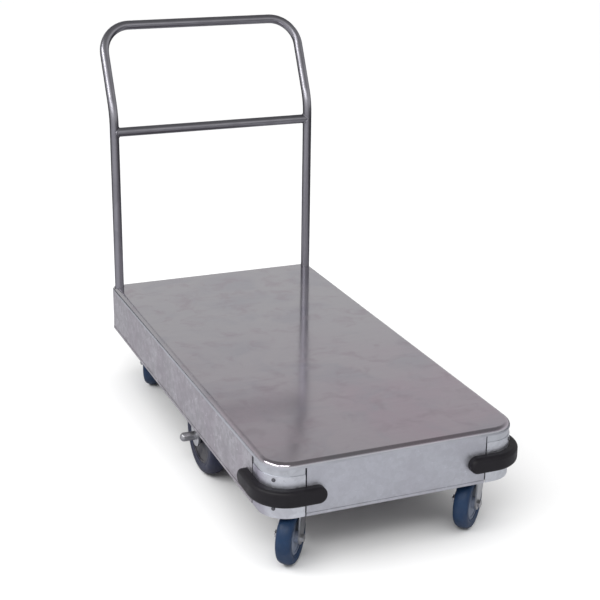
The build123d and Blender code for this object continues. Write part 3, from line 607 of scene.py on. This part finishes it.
# ------------------------------------------------------------------ wheels
def tyre_profile(radius, width, bore, settings):
    """Section of a tyre as a closed loop of (along the axle, radius) points, counted round clockwise.

    The tread is a super-ellipse: radius = shoulder + rise * (1 - |s|^p)^(1/p) for s from -1 to 1, where p is
    TREAD_POWER, with fine parting lines at s = +-LINE_PLACE. Each side falls straight to the bore, with a
    shallow pressed ring whose depth is a squared sine across it.
    """
    half = width / 2.0
    rounding = TREAD_ROUNDING * width
    shoulder = radius - rounding
    s = np.sin(np.linspace(-np.pi / 2.0, np.pi / 2.0, 61))
    lift = (1.0 - np.abs(s) ** TREAD_POWER) ** (1.0 / TREAD_POWER)
    line = np.exp(-((np.abs(s) - LINE_PLACE) / LINE_WIDTH) ** 2) * settings.parting_line
    tread = np.stack([s * half, shoulder + rounding * lift - line], axis=1)
    fall = np.linspace(0.0, 1.0, 25)[1:]
    foot_half = half - 2.0 * MM
    ring = np.clip((fall - 0.30) / 0.45, 0.0, 1.0)
    press = np.sin(np.pi * ring) ** 2 * settings.sidewall_step
    side_half = half + (foot_half - half) * fall - press
    side = np.stack([side_half, shoulder + (bore - shoulder) * fall], axis=1)
    other = np.stack([-side[::-1, 0], side[::-1, 1]], axis=1)
    return np.concatenate([tread, side, other[:-1]])


def shape_tyre(node, joint, body, material, settings):
    """A moulded tyre that stands for the plain CAD ring, inside the same width and diameter."""
    centre = np.array(JOINTS[joint]["pos_m"])
    axis = np.array(JOINTS[joint]["axis"], float)
    radius = centre[2]
    width, bore = tyre_sizes(node, centre, axis)
    profile = tyre_profile(radius, width, bore, settings)
    points, faces = turned_piece(centre, axis, profile, TYRE_STEPS)
    add_piece(node + "_moulded", points, faces, material, body, node)


def tyre_sizes(node, centre, axis):
    """Width along the axle and bore radius of a CAD tyre, measured from its vertices."""
    mesh = NODES[node].data
    places = np.empty(len(mesh.vertices) * 3)
    mesh.vertices.foreach_get("co", places)
    places = places.reshape(-1, 3) - centre
    along = places @ axis
    out = np.linalg.norm(places - along[:, None] * axis, axis=1)
    return along.max() - along.min(), out.min()


# ------------------------------------------------------------------ handle
def weld_bead(name, end_x, inward, bar_centre, radius, settings, material):
    """The bead where a crossbar meets a leg of the same radius.

    The joint of two such tubes is x = R * |sin t| short of the leg's middle line at turn t round the bar. The
    bead is a small circle carried along that line, its radius swelling by a fine ripple.
    """
    turns = np.linspace(0.0, 2.0 * np.pi, 145)[:-1]
    section = np.linspace(0.0, 2.0 * np.pi, 13)[:-1]
    reach = radius * np.sqrt(np.clip(1.0 - np.cos(turns) ** 2, 0.03, 1.0))
    path = np.stack([end_x + inward * reach, bar_centre[1] + radius * np.cos(turns),
                     bar_centre[2] + radius * np.sin(turns)], axis=1)
    tangent = np.roll(path, -1, axis=0) - np.roll(path, 1, axis=0)
    tangent /= np.linalg.norm(tangent, axis=1)[:, None]
    out = np.stack([np.full_like(turns, inward), np.cos(turns), np.sin(turns)], axis=1)
    out -= (out * tangent).sum(axis=1)[:, None] * tangent
    out /= np.linalg.norm(out, axis=1)[:, None]
    across = np.cross(tangent, out)
    bead = settings.weld_radius + settings.weld_ripple * np.abs(np.sin(turns * settings.weld_ripples / 2.0))
    offset = (np.cos(section)[None, :, None] * out[:, None, :]
              + np.sin(section)[None, :, None] * across[:, None, :])
    points = path[:, None, :] + bead[:, None, None] * offset
    faces = grid_faces(len(turns), len(section), True, True)
    if inward < 0:
        faces = faces[:, ::-1]
    add_piece(name, points.reshape(-1, 3), faces, material, "handle")


# ------------------------------------------------------------------ operators
class CART_OT_deck(bpy.types.Operator):
    """Finish the deck sheet"""

    bl_idname = "cart.deck"
    bl_label = "Deck"

    def execute(self, context):
        dress(["deck_sheet"], deck_finish(context.scene.cart_finishes))
        return {"FINISHED"}


class CART_OT_panels(bpy.types.Operator):
    """Finish the skirts, the corner covers and the posts behind them"""

    bl_idname = "cart.panels"
    bl_label = "Panels"

    def execute(self, context):
        settings = context.scene.cart_finishes
        sheet = galvanised_finish(
            "galvanised_finish", tuple(settings.sheet_colour), settings.sheet_roughness, 0.15, 80.0)
        # the corner covers get painted shade along their sides
        cover = galvanised_finish(
            "cover_finish", tuple(settings.cover_colour), settings.sheet_roughness - 0.08, 0.08, 55.0,
            paint_shade_on_side=True)
        front = galvanised_finish(
            "front_sheet_finish", tuple(settings.front_colour), settings.sheet_roughness, 0.05, 90.0)
        dress(["side_skirt_left", "side_skirt_right", "rear_skirt"], sheet)
        dress(["front_skirt"], front)
        dress(["corner_cover_left", "corner_cover_right"], cover)
        return {"FINISHED"}


class CART_OT_frame(bpy.types.Operator):
    """Finish the beams, stringers, posts and handle sockets under the deck"""

    bl_idname = "cart.frame"
    bl_label = "Frame"

    def execute(self, context):
        settings = context.scene.cart_finishes
        dull = galvanised_finish("frame_finish", tuple(settings.frame_colour), 0.50, 0.12, 60.0)
        dress(["corner_post_left", "corner_post_right"], post_finish(settings))
        dress(["cross_beam_front", "cross_beam_centre", "cross_beam_rear", "stringer_left", "stringer_right",
               "handle_socket_left", "handle_socket_right"], dull)
        return {"FINISHED"}


class CART_OT_handle(bpy.types.Operator):
    """Finish the handle's tubes and add the weld beads of its crossbar"""

    bl_idname = "cart.handle"
    bl_label = "Handle"

    def execute(self, context):
        tube = tube_finish(context.scene.cart_finishes)
        dress(["handle_hoop", "handle_crossbar"], tube)
        low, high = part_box("handle_crossbar")
        bar_centre = (low + high) / 2.0
        radius = (high[2] - low[2]) / 2.0
        hoop_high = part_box("handle_hoop")[1]
        for side, sign in zip(SIDES, (-1.0, 1.0)):
            leg_x = sign * (hoop_high[0] - radius)
            weld_bead("crossbar_weld_" + side, leg_x, -sign, bar_centre, radius,
                      context.scene.cart_details, tube)
        return {"FINISHED"}


class CART_OT_bumpers(bpy.types.Operator):
    """Finish the rubber corner bumpers"""

    bl_idname = "cart.bumpers"
    bl_label = "Bumpers"

    def execute(self, context):
        rubber = rubber_finish("bumper_finish", tuple(context.scene.cart_finishes.bumper_colour), 0.42, 0.0)
        dress(["bumper_left", "bumper_right"], rubber)
        return {"FINISHED"}


class CART_OT_casters(bpy.types.Operator):
    """Finish the casters and every wheel's fork and hub, and mould the caster tyres"""

    bl_idname = "cart.casters"
    bl_label = "Casters"

    def execute(self, context):
        settings = context.scene.cart_finishes
        rubber = rubber_finish("caster_tyre_finish", tuple(settings.caster_tyre_colour), 0.36, 0.10)
        zinc = plated_finish("zinc_finish", tuple(settings.zinc_colour), 0.30)
        hub = hub_finish("hub_finish", tuple(settings.hub_colour))
        # the centre hubs' near-black colour is painted shade
        centre_hub = hub_finish("centre_hub_shade_finish", tuple(settings.centre_hub_shade_colour))
        dress([corner + "_caster_plate" for corner in CORNERS], zinc)
        dress([corner + "_caster_fork" for corner in CORNERS], zinc)
        dress([corner + "_caster_hub" for corner in CORNERS], hub)
        dress(["centre_hub_left", "centre_hub_right"], centre_hub)
        dress(["centre_fork_left", "centre_fork_right"], zinc)
        for corner in CORNERS:
            shape_tyre(corner + "_caster_tyre", corner + "_roll", corner + "_wheel", rubber,
                       context.scene.cart_details)
        return {"FINISHED"}


class CART_OT_centre_wheels(bpy.types.Operator):
    """Mould the tyres of the two large centre wheels"""

    bl_idname = "cart.centre_wheels"
    bl_label = "Centre wheels"

    def execute(self, context):
        settings = context.scene.cart_finishes
        rubber = rubber_finish("centre_tyre_finish", tuple(settings.centre_tyre_colour), 0.40, 0.10)
        for side in SIDES:
            shape_tyre("centre_tyre_" + side, "centre_roll_" + side, "centre_wheel_" + side, rubber,
                       context.scene.cart_details)
        return {"FINISHED"}


class CART_OT_fasteners(bpy.types.Operator):
    """Finish bolts, nuts, screws, axles, caps and bearing balls"""

    bl_idname = "cart.fasteners"
    bl_label = "Fasteners"

    def execute(self, context):
        settings = context.scene.cart_finishes
        bright = plated_finish("bright_fastener_finish", tuple(settings.fastener_colour), 0.20)
        dull = plated_finish("cap_finish", tinted(settings.frame_colour, 1.1), 0.34)
        dark = plated_finish("dark_fastener_finish", tuple(settings.dark_fastener_colour), 0.42)
        balls = plated_finish("bearing_finish", tuple(settings.bearing_colour), 0.12)
        dress(["bumper_bolts", "caster_mount_bolts", "caster_mount_nuts", "caster_kingpins",
               "caster_kingpin_nuts", "centre_fork_bolts", "centre_fork_nuts", "centre_axle_left",
               "centre_axle_right"], bright)
        dress(["centre_axle_cap_left", "centre_axle_cap_right"], dull)
        dress([corner + "_caster_axle" for corner in CORNERS], bright)
        dress(["corner_cover_screws"], dark)
        dress(["caster_balls"], balls)
        return {"FINISHED"}


def softbox(name, place, target, size_x, size_y, power):
    """A rectangular studio light aimed at a point."""
    light = bpy.data.lights.new(name, "AREA")
    light.shape = "RECTANGLE"
    light.size = size_x
    light.size_y = size_y
    light.energy = power
    lamp = bpy.data.objects.new(name, light)
    bpy.context.scene.collection.objects.link(lamp)
    aim = Vector(target) - Vector(place)
    lamp.matrix_world = Matrix.Translation(place) @ aim.to_track_quat("-Z", "Y").to_matrix().to_4x4()


def floor_material(settings):
    """A pale matt floor that polished metal mirrors as a darker one."""
    material = bpy.data.materials.new("floor_finish")
    material.use_nodes = True
    tree = material.node_tree
    shader = tree.nodes["Principled BSDF"]
    shader.inputs["Roughness"].default_value = 0.9
    shader.inputs["Specular IOR Level"].default_value = 0.0
    path = tree.nodes.new("ShaderNodeLightPath")
    mirrored = path.outputs["Is Glossy Ray"]
    place = tree.nodes.new("ShaderNodeTexCoord").outputs["Object"]
    axes = tree.nodes.new("ShaderNodeSeparateXYZ")
    feed(tree, place, axes.inputs[0])
    right = spread(tree, axes.outputs["X"], 0.8, 1.4)
    behind = spread(tree, axes.outputs["Y"], 1.2, 1.8)
    far = times(tree, arithmetic(tree, "MAXIMUM", right, behind), 0.92)
    dim = blend_colour(tree, far, tuple(settings.floor_mirrored), (0.02, 0.02, 0.025))
    colour = blend_colour(tree, mirrored, tuple(settings.floor_colour), dim)
    feed(tree, colour, shader.inputs["Base Color"])
    return material


def room_world(settings):
    """A white room that lights evenly, while polished metal mirrors grey walls and a dim ceiling."""
    world = bpy.data.worlds.new("room")
    world.use_nodes = True
    tree = world.node_tree
    background = tree.nodes["Background"]
    direction = tree.nodes.new("ShaderNodeTexCoord").outputs["Generated"]
    axes = tree.nodes.new("ShaderNodeSeparateXYZ")
    feed(tree, direction, axes.inputs[0])
    walls = spread(tree, axes.outputs["Y"], -0.5, 0.7, settings.wall_front, settings.wall_behind)
    raised = spread(tree, axes.outputs["Z"], 0.30, 0.80)
    lowered = arithmetic(tree, "SUBTRACT", 1.0, raised)
    mirrored = plus(tree, times(tree, walls, lowered),
                          times(tree, raised, settings.ceiling))
    path = tree.nodes.new("ShaderNodeLightPath")
    glossy = path.outputs["Is Glossy Ray"]
    plain = arithmetic(tree, "SUBTRACT", 1.0, glossy)
    light = spread(tree, axes.outputs["Z"], 0.0, 0.8, settings.wall_light, settings.room_light)
    light = arithmetic(tree, "MAXIMUM", light, path.outputs["Is Camera Ray"])
    shown = plus(tree, times(tree, mirrored, glossy),
                       times(tree, plain, light))
    background.inputs["Color"].default_value = (1.0, 1.0, 1.0, 1.0)
    feed(tree, shown, background.inputs["Strength"])
    return world


class CART_OT_stage(bpy.types.Operator):
    """Lay the floor, set the lights and the room, and place the camera"""

    bl_idname = "cart.stage"
    bl_label = "Stage"

    def execute(self, context):
        settings = context.scene.cart_stage
        scene = context.scene
        corners = [(x * FLOOR_REACH, y * FLOOR_REACH, 0.0) for x, y in ((-1, -1), (1, -1), (1, 1), (-1, 1))]
        mesh = bpy.data.meshes.new("floor")
        mesh.from_pydata(corners, [], [(0, 1, 2, 3)])
        mesh.materials.append(floor_material(settings))
        floor = bpy.data.objects.new("floor", mesh)
        scene.collection.objects.link(floor)
        scene.world = room_world(settings)
        softbox("key", KEY_PLACE, LIT_CORNER, *KEY_SIZE, settings.key_power)
        softbox("front", FRONT_PLACE, LIT_CORNER, *FRONT_SIZE, settings.front_power)

        camera = bpy.data.cameras.new("camera")
        camera.sensor_width = 36.0
        camera.lens = settings.camera_lens
        camera.clip_start = 0.05
        camera.clip_end = 200.0
        holder = bpy.data.objects.new("camera", camera)
        scene.collection.objects.link(holder)
        turn = (Matrix.Rotation(-settings.camera_heading, 4, "Z")
                @ Matrix.Rotation(math.pi / 2.0 - settings.camera_tilt, 4, "X")
                @ Matrix.Rotation(settings.camera_roll, 4, "Z"))
        holder.matrix_world = Matrix.Translation(settings.camera_place) @ turn
        scene.camera = holder
        scene.view_settings.view_transform = "Standard"
        return {"FINISHED"}


class CART_PT_studio(bpy.types.Panel):
    """The cart's pieces and its stage"""

    bl_label = "Platform cart"
    bl_idname = "CART_PT_studio"
    bl_space_type = "VIEW_3D"
    bl_region_type = "UI"
    bl_category = "Cart"

    def draw(self, context):
        layout = self.layout
        for operator in OPERATORS:
            layout.operator(operator.bl_idname)
        for settings in (context.scene.cart_finishes, context.scene.cart_details, context.scene.cart_stage):
            box = layout.box()
            for name in settings.__annotations__:
                box.prop(settings, name)


OPERATORS = (CART_OT_deck, CART_OT_panels, CART_OT_frame, CART_OT_handle, CART_OT_bumpers, CART_OT_casters,
             CART_OT_centre_wheels, CART_OT_fasteners, CART_OT_stage)
SETTINGS = {"cart_finishes": CartFinishSettings, "cart_details": CartDetailSettings,
            "cart_stage": CartStageSettings}


def register():
    """Adds the settings, operators and panel to Blender."""
    for kind in (*SETTINGS.values(), *OPERATORS, CART_PT_studio):
        bpy.utils.register_class(kind)
    for name, kind in SETTINGS.items():
        setattr(bpy.types.Scene, name, bpy.props.PointerProperty(type=kind))


def unregister():
    """Takes them away again."""
    for name in SETTINGS:
        delattr(bpy.types.Scene, name)
    for kind in (CART_PT_studio, *reversed(OPERATORS), *reversed(list(SETTINGS.values()))):
        bpy.utils.unregister_class(kind)


def main():
    """Builds every piece and the stage in order."""
    register()
    bpy.ops.cart.deck()
    bpy.ops.cart.panels()
    bpy.ops.cart.frame()
    bpy.ops.cart.handle()
    bpy.ops.cart.bumpers()
    bpy.ops.cart.casters()
    bpy.ops.cart.centre_wheels()
    bpy.ops.cart.fasteners()
    bpy.ops.cart.stage()


if __name__ == "__main__":
    main()
